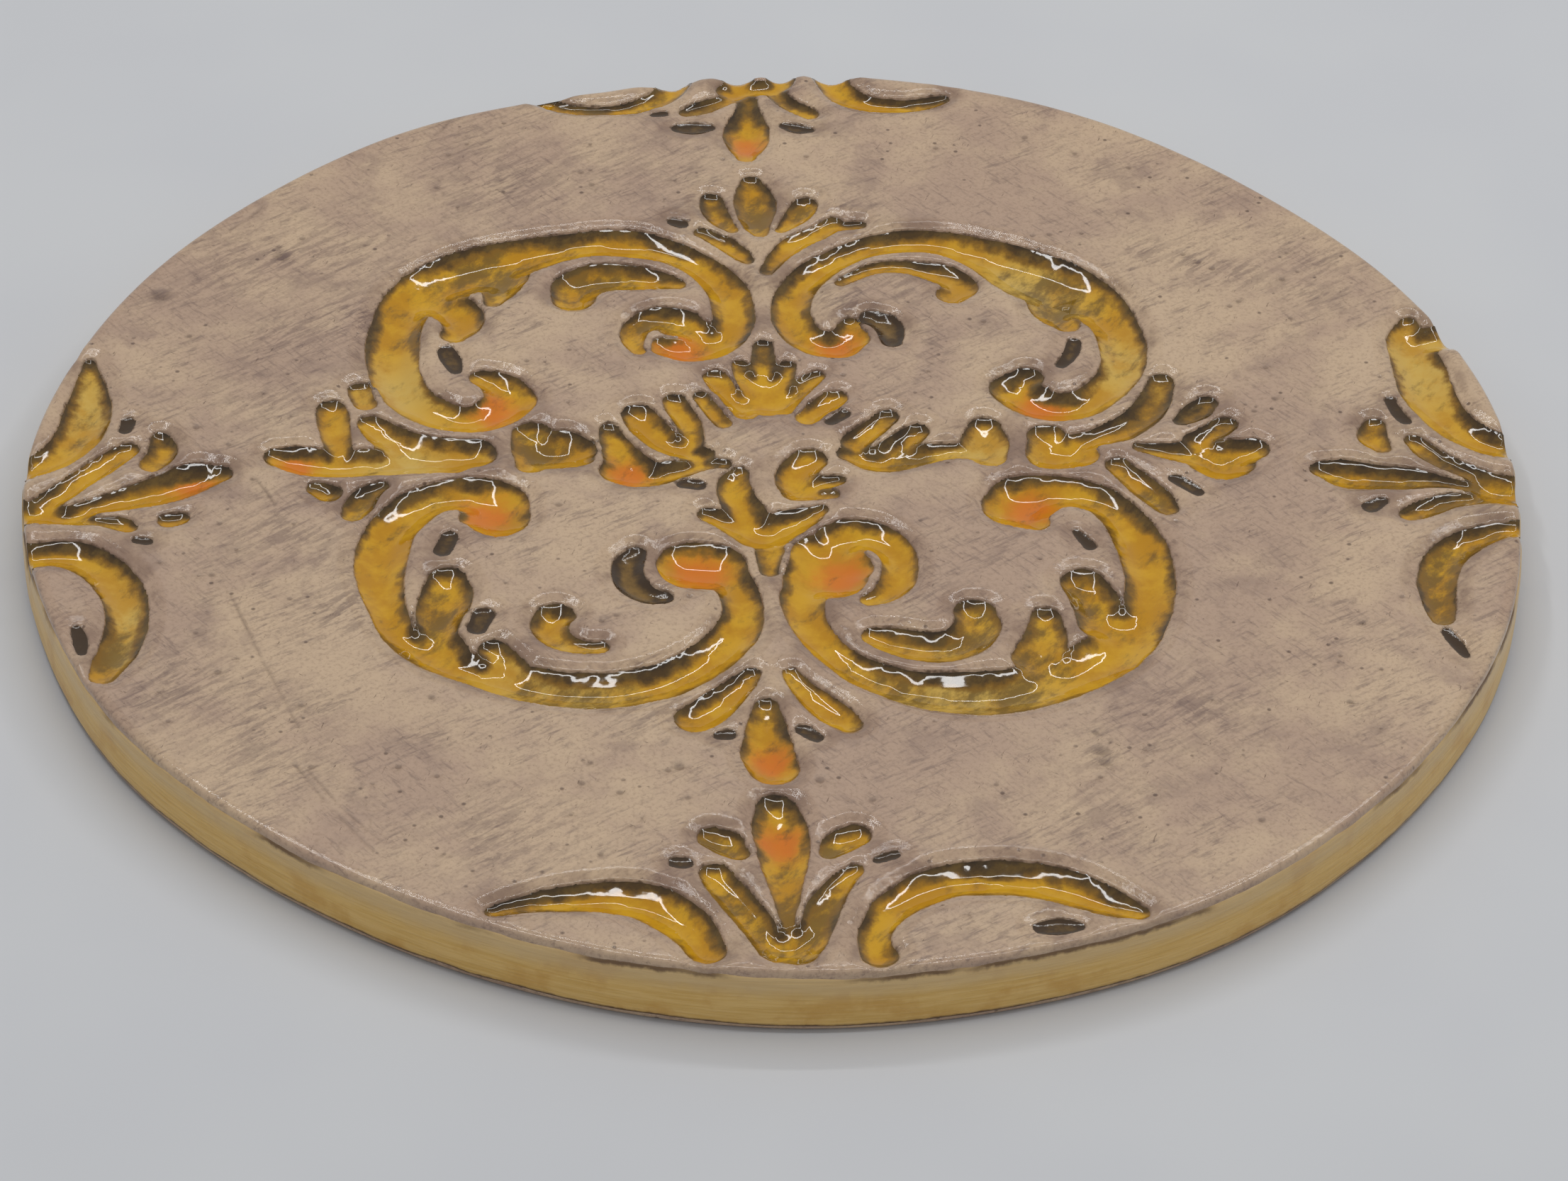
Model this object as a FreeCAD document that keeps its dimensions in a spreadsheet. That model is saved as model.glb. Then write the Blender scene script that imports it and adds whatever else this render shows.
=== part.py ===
"""A round glazed trivet, 182 mm across: a thick disc of fired clay with a damask ornament
pressed into its face, a pool of coloured glaze in every recess, and slip brushed round its side.

Frame: millimetres, +Z up, origin in the middle of the underside.
"""
import FreeCAD, Part
import math
import os

doc = FreeCAD.newDocument("trivet")

SIZES = {
    "disc_width": (182.0, "nominal width of the disc"),
    "disc_thickness": (9.0, "height of the face above the table"),
    "edge_round": (0.6, "radius of the upper edge"),
    "foot_round": (0.8, "radius of the lower edge"),
    "recess_depth": (2.6, "depth of the ornament's recesses"),
    "recess_glaze": (1.2, "thickness of the glaze in them"),
    "mark_depth": (1.3, "depth of the small shallow marks"),
    "mark_glaze": (0.5, "thickness of the glaze in them"),
    "slip_thickness": (0.3, "thickness of the slip on the side"),
}

# The disc is cut by hand, so its radius wanders. One radius every 15 degrees, anticlockwise
# from +X, for a nominal width of 182.
RIM_RADII = [90.4, 90.8, 90.3, 89.9, 91.1, 91.1, 90.2, 88.8, 90.1, 90.1, 90.9, 91.8,
             92.9, 92.2, 91.8, 90.5, 89.9, 90.2, 90.6, 90.5, 90.8, 90.2, 90.1, 90.3]
NOMINAL_WIDTH = 182.0

# The ornament is a set of brush strokes, each a list of (x, y, half width) from the point that
# the rim radii start from. Strokes of one pool run into each other. The ornament's own centre
# lies a little up and to the left.


def north_west_pools():
    """The upper left scroll, and what lies inside its curl."""
    return {
        "glaze_north_west_scroll": ("recess", [
            [(-13.7, 28.2, 2.1), (-11.6, 27.8, 2.6), (-8.6, 28.4, 2.7), (-5.9, 31.6, 2.5),
             (-5.2, 36, 2.5), (-5.9, 40.6, 2.5), (-8.2, 44.8, 2.3), (-12, 48.3, 2.3),
             (-18, 50.9, 2.9), (-24, 50.9, 2.7), (-29.8, 49.1, 3.2), (-36, 46.6, 4.0),
             (-41.5, 44, 3.6), (-45.6, 39.5, 3.4), (-47.8, 34, 3.1), (-48.5, 28, 3.2),
             (-48, 22, 3), (-46, 17, 2.8), (-42.4, 13.8, 2.7), (-38.6, 12.8, 2.6),
             (-35.4, 14.4, 2.9), (-33.6, 17.2, 3.1)],
            [(-34.2, 18.6, 2.9), (-35.4, 20.6, 2.2), (-37, 21.6, 1.6)],
            [(-34, 44, 2.6), (-35.2, 40, 1.9), (-35.8, 38, 1.1)],
            [(-41, 41.4, 2.4), (-38.2, 42.2, 2)],
            [(-43, 38, 2.6), (-40.4, 35.6, 2.9), (-39.8, 32.8, 2.4), (-40.8, 30.7, 1.5)],
            [(-17.5, 27.4, 0.8), (-18.1, 29.8, 1.3), (-17.5, 32.6, 1.7)],
            [(-17.3, 32.8, 1.7), (-14.6, 34.5, 2.1), (-11.6, 34.3, 1.8), (-10, 33, 1.2)],
            [(-13.2, 32.4, 1.6), (-9.6, 31.8, 2)]]),
        "glaze_north_west_speck": ("mark", [
            [(-41.7, 27.0, 1.2), (-41, 24.8, 1.4), (-40.5, 22.8, 0.9)]]),
        "glaze_north_west_bud": ("recess", [
            [(-25.6, 38.7, 2.6), (-25, 41.4, 3.1), (-22.3, 43.2, 3), (-18.6, 43.4, 2.7),
             (-15, 42.8, 2), (-12.2, 41.8, 1)]]),
    }


def north_east_pools():
    """The upper right scroll, and what lies inside its curl."""
    return {
        "glaze_north_east_scroll": ("recess", [
            [(9.4, 30.2, 2.4), (7.4, 28.6, 2.8), (4.4, 29.7, 2.5), (2.5, 33, 2.4), (2.2, 37.5, 2.3),
             (3.8, 42.2, 2.2), (7.4, 46.5, 2.1), (11.6, 49.6, 1.9), (16.4, 51.3, 2.3),
             (21.6, 51.2, 2.5), (27, 48.9, 3.3), (31, 45.9, 4.6), (35.2, 42.6, 5.2),
             (40.2, 38.4, 4.3), (43.3, 33, 3), (44, 27.6, 2.8), (43.2, 22.6, 2.5),
             (40.8, 18.6, 2.4), (37.6, 15.8, 2.7), (34.2, 15.4, 2.9), (31.2, 17.2, 3.3)],
            [(30.9, 17.6, 3.4), (29.9, 19.4, 3.2), (31.4, 21.5, 1.9)],
            [(9.2, 31.4, 1.7), (9.6, 33.3, 1.1)],
            [(35.7, 39.6, 2.9), (36, 35.6, 2.7), (37.2, 32.9, 1.5)]]),
        "glaze_north_east_hook": ("recess", [
            [(12.4, 34.4, 1.4), (14, 33.2, 1.7), (14.7, 30.8, 1.5), (14.7, 29.2, 1.1)]]),
        "glaze_north_east_speck": ("mark", [
            [(37.9, 28.6, 0.9), (37.1, 26, 1.1), (35.9, 23.8, 0.8)]]),
        "glaze_north_east_bud": ("recess", [
            [(8.8, 42.2, 0.7), (11.4, 44.4, 1), (15, 45.7, 1.1), (19, 45.3, 1.5), (22.6, 43.6, 2),
             (24.1, 41.2, 2.1), (23.1, 39.6, 1.9)]]),
    }


def south_west_pools():
    """The lower left scroll, and what lies inside its curl."""
    return {
        "glaze_south_west_scroll": ("recess", [
            [(-35.1, -7.2, 3.7), (-36.2, -4.2, 4.4), (-39, -2.5, 3.4), (-42, -3, 2.9),
             (-45.2, -5.4, 2.9), (-47.8, -9.4, 2.9), (-49, -14, 3), (-49.2, -19, 2.7),
             (-48.2, -25, 2.1), (-46.4, -30, 2.2), (-43.2, -33.8, 2.3), (-38.6, -36.2, 2.6),
             (-33, -38.8, 2.9), (-27, -40.4, 3.1), (-21, -40.4, 3.1), (-15, -38.4, 3),
             (-10, -34.4, 2.8), (-6.8, -29.6, 2.6), (-5.9, -24.4, 2.2), (-6.9, -20.2, 2.4),
             (-9.2, -17.2, 4)],
            [(-9.6, -17, 4.4), (-11.4, -16.8, 4.4)],
            [(-41.2, -19.4, 2.2), (-41.2, -22.6, 3), (-42, -26.6, 2.8), (-42.4, -30.6, 2.4)],
            [(-42.4, -30, 2.4), (-41, -33.2, 2.4)],
            [(-35.6, -32.8, 1.6), (-33.8, -36, 2)]]),
        "glaze_south_west_hook": ("recess", [
            [(-18.5, -14.3, 1.1), (-19.5, -17, 1.7), (-19.1, -20.2, 1.8), (-17.2, -22.5, 1.5),
             (-15.2, -23.1, 1)]]),
        "glaze_south_west_spots": ("mark", [
            [(-36.8, -26.6, 1.5), (-37.5, -28.9, 1.5)],
            [(-40.9, -11.4, 1.1), (-41.8, -14.2, 1.2)]]),
        "glaze_south_west_bud": ("recess", [
            [(-28.3, -26.7, 2.3), (-28.7, -29.5, 2), (-26.8, -31.7, 1.4), (-23, -32.5, 0.9)]]),
    }


def south_east_pools():
    """The lower right scroll, and what lies inside its curl."""
    return {
        "glaze_south_east_scroll": ("recess", [
            [(28, -5.2, 3.8), (29.4, -3.6, 4.4), (34, -2.4, 3), (38, -3.6, 2.6), (41.2, -7.8, 2.6),
             (42.8, -12.6, 2.9), (43.4, -18, 2.9), (42.8, -24, 2.9), (40.4, -29.8, 3.4),
             (36.4, -34.8, 3.7), (31, -38.5, 3.8), (25, -40.9, 3.9), (18.6, -41.3, 3.7),
             (12.4, -39.8, 2.9), (7.5, -36.9, 2.3), (4, -32.8, 1.9), (1.8, -27.6, 2.1),
             (1.4, -22.4, 2.5)],
            [(1.6, -23, 2.3), (2.9, -17, 3.3), (4.6, -14.4, 4)],
            [(5, -14.8, 4.2), (5.2, -17.4, 4.8), (5.2, -19, 4)],
            [(6, -11.6, 2.8), (9.2, -10.7, 2.8), (12.3, -13, 2.3), (13.4, -16.8, 2),
             (12.8, -20.2, 1.9), (11, -22.6, 1.5), (9.4, -23.6, 1)],
            [(28.8, -7.6, 2), (30.4, -8.3, 1.6)],
            [(30.3, -27, 1.7), (30, -30.4, 2.3), (28.9, -34.6, 3.1)],
            [(35.2, -20.4, 2.5), (36.5, -24, 2.9), (37.2, -28, 3)]]),
        "glaze_south_east_speck": ("mark", [
            [(35.1, -10.6, 0.6), (36.6, -13.6, 0.9)]]),
        "glaze_south_east_bud": ("recess", [
            [(21.8, -26.3, 2.5), (21.6, -29.6, 2.7), (19.4, -32, 2.7), (16, -32.7, 2.7),
             (12.6, -31.7, 2.5), (10, -30.6, 1.7)]]),
    }


def rosette_pools():
    """The rosette between the four scrolls, with a bead to its left and right."""
    return {
        "glaze_rosette_north": ("recess", [
            [(-8, 21.8, 1.3), (-6.4, 18.4, 1.7), (-4.4, 14.4, 1.6)],
            [(-4.6, 24.2, 0.9), (-4, 21, 1.2), (-3.4, 17, 1.4)],
            [(-1.6, 28.6, 1), (-1.8, 25, 1.4), (-1.8, 20, 2), (-1.4, 15.2, 1.8)],
            [(1.2, 24, 1), (0.4, 20.6, 1.3), (-0.4, 17, 1.4)],
            [(4.8, 22, 1), (2.5, 19, 1.4), (0.4, 15.2, 1.5)]]),
        "glaze_rosette_north_leaf": ("recess", [
            [(6.8, 17.1, 1.5), (4.9, 14.9, 1.7), (3.3, 13, 1.3)]]),
        "glaze_rosette_marks": ("mark", [
            [(7.8, 13.4, 1.1), (6.2, 11.9, 0.9)],
            [(-12.4, -0.9, 1.1), (-10.6, -1.2, 1.1)]]),
        "glaze_rosette_west_leaf": ("recess", [
            [(-9.7, 17.6, 1), (-8.4, 14.6, 1.2), (-7.2, 12, 1)]]),
        "glaze_rosette_west": ("recess", [
            [(-13.1, 16.6, 1.4), (-12, 13.2, 1.6), (-11.3, 10.2, 1.5), (-11.5, 7.4, 1.4)],
            [(-17.6, 13.8, 2), (-16, 10.5, 2.4), (-13, 7.2, 2.2), (-9.7, 5.5, 1.2)],
            [(-21.3, 10.6, 1.1), (-20.4, 7, 1.9), (-18.6, 3, 2.8)],
            [(-20, 2.2, 2.5), (-17, 1.2, 2.3), (-13, 2.4, 1.9), (-9.8, 3.5, 1.2),
             (-7.4, 3.6, 0.9)]]),
        "glaze_rosette_south": ("recess", [
            [(-5.6, 1.6, 1.1), (-6.2, -0.8, 1.9), (-5.6, -4, 2.2), (-4.4, -8.6, 2.6)],
            [(-9.4, -6.8, 1.3), (-6.5, -8, 2.3), (-3.5, -10, 3.2)],
            [(4.2, -5.7, 0.8), (1.4, -7.7, 2.1), (-2.6, -10.2, 3.1)],
            [(-2.2, -14.2, 1.6), (-2.4, -17.8, 1.1)]]),
        "glaze_rosette_south_east": ("recess", [
            [(3.2, 4.2, 2.1), (1.4, 0.8, 2.3), (1.6, -2, 2)],
            [(1.8, -1.2, 1.7), (6.4, 0.1, 0.9)],
            [(2.2, -2.6, 1.4), (5.8, -2.7, 0.8)]]),
        "glaze_rosette_east": ("recess", [
            [(13.3, 13.2, 1.3), (11.2, 10.4, 1.6), (9.2, 8, 1.8)],
            [(16.8, 10.1, 1.4), (15, 8, 1.9), (12.6, 5.6, 2)],
            [(8.4, 5.6, 1.5), (12.5, 4.6, 2.8), (17, 5.4, 2.1), (20.5, 6, 1.5),
             (24.4, 6.2, 2.4)],
            [(25.3, 11, 1.9), (25.2, 7.4, 2.8), (25.5, 5, 2)]]),
        "glaze_west_bead": ("recess", [
            [(-30.9, 9.7, 2.3), (-30.4, 5.8, 2.9), (-31, 3.6, 1.8)],
            [(-29.4, 7.2, 2.6), (-26.6, 7.5, 2.7), (-25, 6.6, 2.1)],
            [(-29, 4.6, 2), (-26.6, 4.6, 1.8), (-24.8, 4.8, 1.4)]]),
    }


def palmette_pools():
    """The four palmettes that fan out between the scrolls."""
    return {
        "glaze_north_palmette_bud": ("recess", [
            [(-2, 65, 1.3), (-1.8, 62, 2.4), (-1.7, 58, 2.5), (-1.6, 55, 1.7),
             (-1.3, 53.6, 0.9)]]),
        "glaze_north_palmette_sides": ("recess", [
            [(-7.3, 61, 1.3), (-6.9, 58.4, 1.6), (-5.8, 55.8, 1.3), (-4.8, 54.2, 0.7)],
            [(4.9, 60, 1.4), (3.8, 57.6, 1.6), (2.3, 55.3, 1.1), (1.5, 54.2, 0.6)]]),
        "glaze_north_palmette_stem": ("recess", [
            [(-8.8, 53.5, 0.9), (-6.4, 51.5, 1.1), (-4.1, 48.8, 1.2), (-3.1, 47.3, 0.8)]]),
        "glaze_north_palmette_fork": ("recess", [
            [(-0.6, 44.9, 0.7), (1.2, 48.6, 1.2), (4, 51.9, 1.5), (6.8, 54, 1.4),
             (8.4, 55.8, 1.2)],
            [(8.6, 54.9, 0.8), (11.8, 55.2, 0.7)]]),
        "glaze_south_palmette_bud": ("recess", [
            [(-3.7, -43.6, 1.3), (-3.8, -47.4, 2.2), (-3.9, -51, 2.8), (-3.2, -55, 2.7)]]),
        "glaze_south_palmette_sides": ("recess", [
            [(-12, -45.8, 2.4), (-10, -43.8, 2.3), (-7.4, -40.7, 1.8), (-5.2, -37.6, 1)],
            [(-0.6, -37.6, 0.9), (0.6, -40, 1.3), (2.6, -43, 1.8), (4.5, -45.4, 1.9),
             (5.8, -46.9, 1.5)]]),
        "glaze_palmette_marks": ("mark", [
            [(-12.6, 55.6, 0.9), (-11.4, 55, 1)],
            [(-9.4, -49.2, 0.9), (-8.2, -49.1, 1.1)],
            [(0.5, -48.2, 1.1), (2, -49.7, 0.9)],
            [(48.1, 0, 0.9), (49.6, -1.4, 1), (50.8, -2.8, 0.8)]]),
        "glaze_west_palmette": ("recess", [
            [(-62, 5, 1.8), (-59.6, 4.5, 2.6), (-56, 3.6, 2.7), (-51.6, 3.9, 2.7),
             (-46.4, 4.4, 2.8), (-41, 4.8, 3)],
            [(-50.9, 12, 1.6), (-49, 9.6, 2.3), (-46, 7.2, 2.8), (-42, 5.6, 3.3),
             (-38.2, 5.8, 2.8)],
            [(-55.8, 15, 1.6), (-55.5, 12, 1.8), (-55, 8.4, 1.6), (-54.4, 5.4, 1.6)]]),
        "glaze_west_palmette_leaves": ("recess", [
            [(-52.3, 18.9, 1.4), (-51.7, 16.2, 1.3)],
            [(-49.4, -0.8, 0.8), (-50.8, -2.2, 1.4), (-52, -4.5, 1.7), (-52.7, -6.6, 1.2)],
            [(-57, -1.4, 1.3), (-55.8, -2.3, 1.6)]]),
        "glaze_east_palmette": ("recess", [
            [(33, 9, 2.3), (33.5, 5.7, 3.5), (36.6, 5.4, 2.5)],
            [(36, 7.6, 1.8), (39, 8.8, 1.6), (42, 10.3, 2), (45.2, 13.3, 2.1), (47.2, 17, 1.9),
             (48.3, 20.6, 1.4)]]),
        "glaze_east_palmette_bud": ("recess", [
            [(44.4, 6.8, 0.7), (48, 6, 1.6), (52, 5.4, 2.6), (56, 5.6, 2.8), (58.4, 6.5, 2)],
            [(55.5, 11.5, 1.4), (53.6, 9.8, 1.6), (51.4, 8.4, 1.4)],
            [(51.6, 3.2, 1.2), (54.4, 1.7, 1.5), (57, 3, 1.3)]]),
        "glaze_east_palmette_top": ("recess", [
            [(53.6, 16.1, 1.3), (51.7, 13.9, 1.5), (50.1, 12.3, 0.9)]]),
        "glaze_east_palmette_leaf": ("recess", [
            [(41.4, 3, 1.5), (43.3, 0.1, 1.7), (45.3, -3, 1.8), (46.7, -5.6, 1.3)]]),
    }


def north_rim_pools():
    """The half motif that the rim cuts at the top."""
    return {
        "glaze_north_rim_bud": ("recess", [
            [(-1.8, 84.6, 1), (-2, 81, 1.8), (-2.3, 77, 2.8), (-2.4, 73.6, 2.5),
             (-2.5, 71.2, 1.1)],
            [(-10, 81.7, 1), (-7.5, 83.1, 1.4), (-4.8, 84.8, 1.1), (-2.6, 86.2, 1.2)],
            [(-4.4, 87, 1.5), (-1.6, 87.4, 1.7), (2, 88.2, 1.6), (2, 92, 1.8)],
            [(-3, 87, 1.8), (-3, 92, 1.8)],
            [(6.2, 81.3, 1.1), (4.5, 82.9, 1.2), (2.7, 85.1, 1.2), (1.6, 87.6, 1.4)]]),
        "glaze_north_rim_marks": ("mark", [
            [(-11.3, 77.4, 1.1), (-9, 77.4, 1.4), (-7.2, 77.6, 1)],
            [(3, 78, 0.9), (4.5, 77.3, 1.2), (6.2, 77.1, 0.8)],
            [(-14.6, 80.7, 0.6), (-13.2, 81, 0.8)]]),
        "glaze_north_rim_left_arc": ("recess", [
            [(-31, 87, 1.6), (-29.4, 84.4, 1.2), (-26.5, 82.7, 1.1), (-22, 82.1, 0.9),
             (-18, 82.6, 1.1), (-14.8, 84.2, 1.6), (-12.4, 86.6, 1.7), (-11.4, 91, 1.9)]]),
        "glaze_north_rim_right_arc": ("recess", [
            [(9.2, 92, 2), (9.9, 88.4, 2), (11.2, 85.9, 2.1), (13.6, 84.1, 1.8), (17, 83.3, 1.6),
             (21, 83.6, 1.4), (24.4, 84.9, 0.8)]]),
    }


def south_rim_pools():
    """The half motif that the rim cuts at the bottom."""
    return {
        "glaze_south_rim_bud": ("recess", [
            [(-3.2, -62, 2.2), (-2.9, -66, 3), (-2.6, -71, 2.6), (-2.6, -76, 1.6),
             (-2.5, -80, 1), (-2.4, -84.6, 1.2)],
            [(-10.5, -73.3, 1.6), (-8.6, -77.2, 1.9), (-6.1, -81.6, 2), (-3.9, -86, 2)],
            [(5.3, -72.9, 0.9), (3, -76, 1.5), (1.1, -80.4, 1.9), (-0.6, -85, 2)],
            [(-3.4, -86.2, 2.2), (-1.7, -86.4, 2.2)]]),
        "glaze_south_rim_leaves": ("recess", [
            [(-10.5, -67.2, 1.7), (-9.2, -68, 2), (-7.8, -69.6, 1.3)],
            [(5.6, -66.9, 1.7), (3.8, -68.2, 1.7), (2.5, -69.8, 1)]]),
        "glaze_south_rim_marks": ("mark", [
            [(-14.8, -71.7, 1.1), (-13.8, -71.8, 1.1)],
            [(8, -71.4, 0.7), (10, -70.5, 0.8)],
            [(25.7, -83.1, 1), (28, -82.9, 1.4), (30, -82.8, 0.9)]]),
        "glaze_south_rim_left_arc": ("recess", [
            [(-35.6, -79.6, 0.7), (-32, -78.4, 1.3), (-28, -77.7, 1.9), (-24, -77.3, 2.4),
             (-20, -77.6, 2.8), (-16, -79.7, 3), (-13.3, -82.9, 2.6), (-11.8, -86.2, 2.1)]]),
        "glaze_south_rim_right_arc": ("recess", [
            [(7.5, -87.2, 1.9), (7, -84.6, 1.6), (8, -81.2, 1.8), (10.8, -77.8, 2.3),
             (15, -75.1, 2.6), (20, -74.2, 2.8), (25, -74.6, 2.8), (30, -76.3, 2.7),
             (34, -78.7, 2.1), (36.8, -80.2, 1.1)]]),
    }


def west_rim_pools():
    """The half motif that the rim cuts on the left."""
    return {
        "glaze_west_rim_bud": ("recess", [
            [(-69.4, 1.6, 1.6), (-72.2, 0.8, 2.8), (-75.6, -1.3, 2.8), (-79.4, -3, 2.2),
             (-83, -4.6, 1.6), (-86.4, -6, 1.5)],
            [(-80.6, 6.7, 1.2), (-82.2, 4.9, 1.6), (-85, 1.6, 1.6), (-88, -1.8, 1.6),
             (-90.2, -4.6, 1.7)],
            [(-95, -5.6, 2), (-90, -6.2, 2), (-87.6, -6.6, 1.8), (-85.2, -7.4, 1.1), (-83, -7.7, 0.9),
             (-80.6, -8.4, 1.1), (-79.7, -9.1, 0.8)]]),
        "glaze_west_rim_leaves": ("recess", [
            [(-76.8, 9.1, 1), (-76.4, 6.2, 1.7), (-77.5, 3.6, 1.3)],
            [(-73.6, -7.3, 1), (-75, -7.8, 1.2)]]),
        "glaze_west_rim_marks": ("mark", [
            [(-81.2, 10.3, 1), (-80.9, 11.9, 1.1)],
            [(-78.6, -11.9, 0.8), (-77.3, -12.2, 0.8)],
            [(-84.8, -29, 0.8), (-84.2, -31.4, 1), (-83.9, -33.4, 0.7)]]),
        "glaze_west_rim_upper_arc": ("recess", [
            [(-86.4, 24.8, 0.6), (-86, 20, 1.7), (-86, 15, 2.7), (-86.8, 10, 2.8),
             (-89, 5.6, 2.3), (-93, 2.2, 1.6)]]),
        "glaze_west_rim_lower_arc": ("recess", [
            [(-94, -15, 2), (-90, -14.4, 2.2), (-86.4, -14.4, 2.5), (-83, -16.7, 2.6),
             (-80.2, -20.8, 2.6), (-79, -26, 2.4), (-79.3, -31, 2.3), (-80.4, -35, 2),
             (-81.2, -37.4, 1.4)]]),
    }


def east_rim_pools():
    """The half motif that the rim cuts on the right."""
    return {
        "glaze_east_rim_bud": ("recess", [
            [(67, 2.1, 1.7), (69.6, 1.2, 2.8), (73, 0.6, 2.5), (77, 0.3, 2.1), (80.6, -0.2, 1.4),
             (84.4, -1.2, 1.2), (87, -2.2, 1.9), (92, -2.2, 2)],
            [(78.8, 8, 1.1), (80.8, 5, 1.4), (83.4, 2.5, 1.4), (86.4, 0.4, 1.4),
             (92, -1, 1.6)],
            [(76.4, -6.9, 1.1), (79, -5.5, 1.5), (82, -4.2, 1.3), (85, -3.7, 1.1),
             (88, -3.4, 1.4)]]),
        "glaze_east_rim_leaf": ("recess", [
            [(74.2, 11.5, 1.2), (73.7, 8.8, 1.7), (74.5, 6.6, 1)]]),
        "glaze_east_rim_marks": ("mark", [
            [(76.7, 16.2, 0.8), (77.3, 13.8, 0.9), (78.2, 11.9, 0.9)],
            [(71.7, -5.8, 1.2), (73.2, -4.6, 1)],
            [(78, -30.4, 0.8), (79, -33, 0.9), (79.7, -34.9, 0.6)]]),
        "glaze_east_rim_upper_arc": ("recess", [
            [(81, 33.2, 1.1), (80.6, 29, 2.6), (81.2, 24.6, 3.1), (81.6, 19, 3.3), (83, 14, 2.9),
             (85.6, 9.8, 2.6), (92, 6.4, 2.4)],
            [(82.4, 29.4, 2.4), (90, 31.6, 2.4)]]),
        "glaze_east_rim_lower_arc": ("recess", [
            [(92, -10, 1.4), (87, -10.4, 1.4), (83.8, -11.7, 1.9), (80.4, -14.7, 2.1),
             (78.4, -18.6, 2.2), (77.8, -23, 2), (77.9, -27.4, 1.3)]]),
    }


def add_sizes():
    """The driving dimensions, in a spreadsheet."""
    sheet = doc.addObject("Spreadsheet::Sheet", "sizes")
    for row, (alias, (value, meaning)) in enumerate(SIZES.items(), start=1):
        sheet.set(f"A{row}", meaning)
        sheet.set(f"B{row}", str(value))
        sheet.setAlias(f"B{row}", alias)
    doc.recompute()
    return sheet


def rim_curve(extra):
    """The disc's outline, moved outwards by extra: one closed smooth curve."""
    step = 2 * math.pi / len(RIM_RADII)
    points = []
    for turn, radius in enumerate(RIM_RADII):
        reach = radius * scale + extra
        points.append(FreeCAD.Vector(reach * math.cos(turn * step), reach * math.sin(turn * step), 0))
    curve = Part.BSplineCurve()
    curve.interpolate(Points=points, PeriodicFlag=True)
    return curve


def directions(path):
    """The direction of a path at each of its points."""
    runs = [(after - before) for before, after in zip(path, path[1:])]
    result = [runs[0]]
    for before, after in zip(runs, runs[1:]):
        result.append(before * (after.Length / before.Length) + after * (before.Length / after.Length))
    result.append(runs[-1])
    return [FreeCAD.Vector(way).normalize() for way in result]


def side(points):
    """One long side of a stroke: a straight line, or a smooth curve through its points."""
    if len(points) == 2:
        return Part.makeLine(points[0], points[1])
    curve = Part.BSplineCurve()
    curve.interpolate(points)
    return curve.toShape()


def stroke_face(stroke):
    """A flat brush stroke with round ends, from its centre line and half widths."""
    path = [FreeCAD.Vector(x, y, 0) * scale for x, y, _ in stroke]
    widths = [half * scale for _, _, half in stroke]
    ways = directions(path)
    left = []
    right = []
    for point, way, half in zip(path, ways, widths):
        across = FreeCAD.Vector(-way.y, way.x, 0) * half
        left.append(point + across)
        right.append(point - across)
    start_tip = path[0] - ways[0] * widths[0]
    end_tip = path[-1] + ways[-1] * widths[-1]
    edges = [side(left), Part.Arc(left[-1], end_tip, right[-1]).toShape(),
             side(right[::-1]), Part.Arc(right[0], start_tip, left[0]).toShape()]
    face = Part.Face(Part.Wire(edges))
    if not face.isValid():
        raise RuntimeError(f"the stroke that starts at {stroke[0]} crosses itself")
    return face


def pool_faces(strokes):
    """The strokes of one pool, joined where they run into each other."""
    faces = [stroke_face(stroke) for stroke in strokes]
    joined = faces[0]
    if len(faces) > 1:
        joined = faces[0].multiFuse(faces[1:]).removeSplitter()
    return joined


def add_outline(name, shape, level):
    """A flat outline at a height that the sheet gives."""
    outline = doc.addObject("Part::Feature", name)
    outline.Shape = shape
    outline.Placement = FreeCAD.Placement(middle * -1, FreeCAD.Rotation())
    outline.setExpression(".Placement.Base.z", level)
    return outline


def add_prism(name, outline, height):
    """A solid straight up from an outline."""
    prism = doc.addObject("Part::Extrusion", name)
    prism.Base = outline
    prism.DirMode = "Custom"
    prism.Dir = FreeCAD.Vector(0, 0, 1)
    prism.Solid = True
    prism.setExpression("LengthFwd", height)
    return prism


def add_blank():
    """The disc before the ornament is pressed into it."""
    body = doc.addObject("PartDesign::Body", "blank")
    sketch = body.newObject("Sketcher::SketchObject", "blank_outline")
    plane = next(part for part in body.Origin.OriginFeatures if part.Role == "XY_Plane")
    sketch.AttachmentSupport = (plane, [""])
    sketch.MapMode = "FlatFace"
    curve = rim_curve(0)
    curve.translate(middle * -1)
    sketch.addGeometry(curve)
    pad = body.newObject("PartDesign::Pad", "blank_pad")
    pad.Profile = sketch
    pad.setExpression("Length", "sizes.disc_thickness")
    doc.recompute()
    previous = pad
    for name, size, top in (("upper_edge", "edge_round", True), ("lower_edge", "foot_round", False)):
        rounding = body.newObject("PartDesign::Fillet", name)
        rounding.Base = (previous, [rim_edge(previous.Shape, top)])
        rounding.setExpression("Radius", f"sizes.{size}")
        doc.recompute()
        previous = rounding
    body.Tip = previous
    return body


def rim_edge(shape, top):
    """The name of the disc's outermost upper or lower edge."""
    level = shape.BoundBox.ZMax if top else shape.BoundBox.ZMin
    flat = [(edge.Length, index) for index, edge in enumerate(shape.Edges, start=1)
            if abs(edge.BoundBox.ZMax - level) < 1e-3 and abs(edge.BoundBox.ZMin - level) < 1e-3]
    return f"Edge{max(flat)[1]}"


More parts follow.
